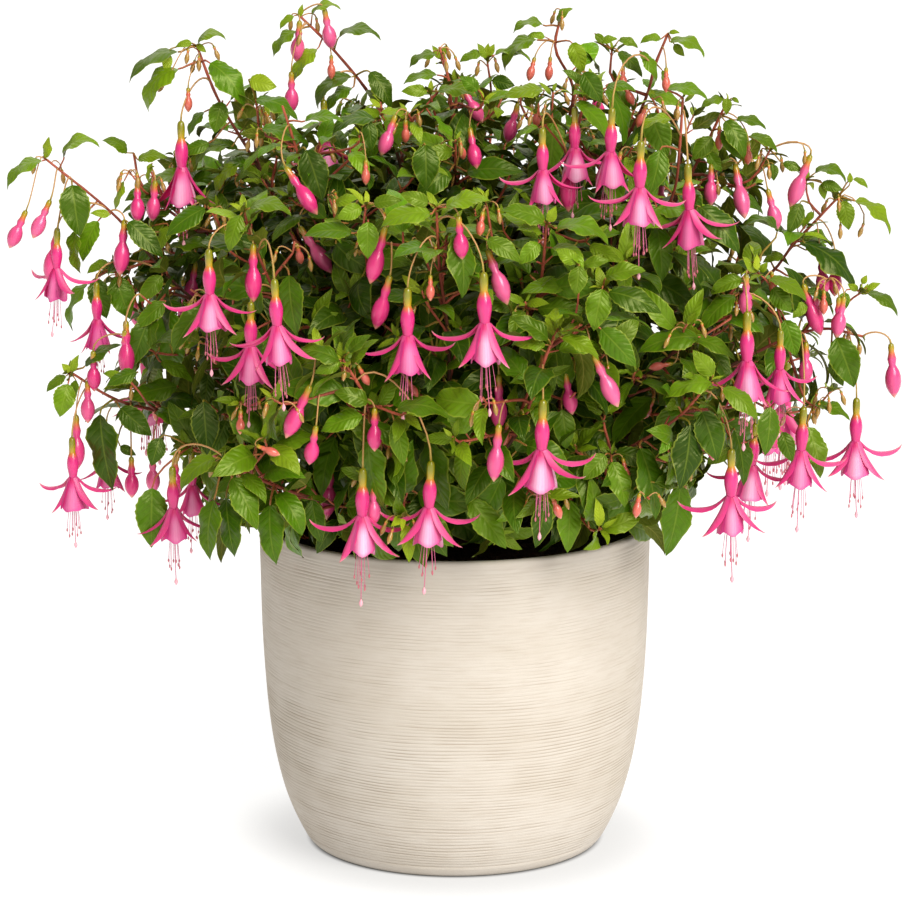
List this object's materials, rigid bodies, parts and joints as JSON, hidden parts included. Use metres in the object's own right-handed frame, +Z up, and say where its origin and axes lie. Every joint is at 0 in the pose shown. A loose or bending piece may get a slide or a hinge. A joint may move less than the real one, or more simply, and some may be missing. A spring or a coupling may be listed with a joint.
{
  "type": "potted fuchsia",
  "caption": "Bushy fuchsia in bloom, with leafy arching shoots and hanging pink flowers, growing in a round ribbed planter of soil.",
  "frame": {"origin": "middle of the planter's flat base, on the surface that it stands on", "axes": "+Z up along the planter's axis; -Y towards the side that the picture shows; +X to the right in the picture"},
  "size_m": [0.5747, 0.4956, 0.5639],
  "materials": {
    "planter": "matte warm beige with fine combed ribs",
    "soil": "loose dark crumbs, matte",
    "wood": "rough brown bark",
    "foliage": "satin green leaves on red-brown stems",
    "flower": "soft satin pink petals"
  },
  "bodies": {
    "root": {"planter": "planter", "potting_soil": "soil", "woody_crown": "wood", "shoot_01": "foliage", "shoot_02": "foliage", "shoot_03": "foliage", "shoot_04": "foliage", "shoot_05": "foliage", "shoot_06": "foliage", "shoot_07": "foliage", "shoot_08": "foliage", "shoot_09": "foliage", "shoot_10": "foliage", "shoot_11": "foliage", "shoot_12": "foliage", "shoot_13": "foliage", "shoot_14": "foliage", "shoot_15": "foliage", "shoot_16": "foliage", "shoot_17": "foliage", "shoot_18": "foliage", "shoot_19": "foliage", "shoot_20": "foliage", "shoot_21": "foliage", "shoot_22": "foliage", "shoot_23": "foliage", "shoot_24": "foliage", "shoot_25": "foliage", "shoot_26": "foliage", "shoot_27": "foliage", "shoot_28": "foliage", "shoot_29": "foliage", "flower_01": "flower", "flower_02": "flower", "flower_03": "flower", "flower_04": "flower", "flower_05": "flower", "flower_06": "flower", "flower_07": "flower", "flower_08": "flower", "flower_09": "flower", "flower_10": "flower", "flower_11": "flower", "flower_12": "flower", "flower_13": "flower", "flower_14": "flower", "flower_15": "flower", "flower_16": "flower", "flower_17": "flower", "flower_18": "flower", "flower_19": "flower", "flower_20": "flower", "flower_21": "flower", "flower_22": "flower", "flower_23": "flower", "flower_24": "flower", "flower_25": "flower", "flower_26": "flower", "flower_27": "flower", "flower_28": "flower"}
  },
  "joints": []
}
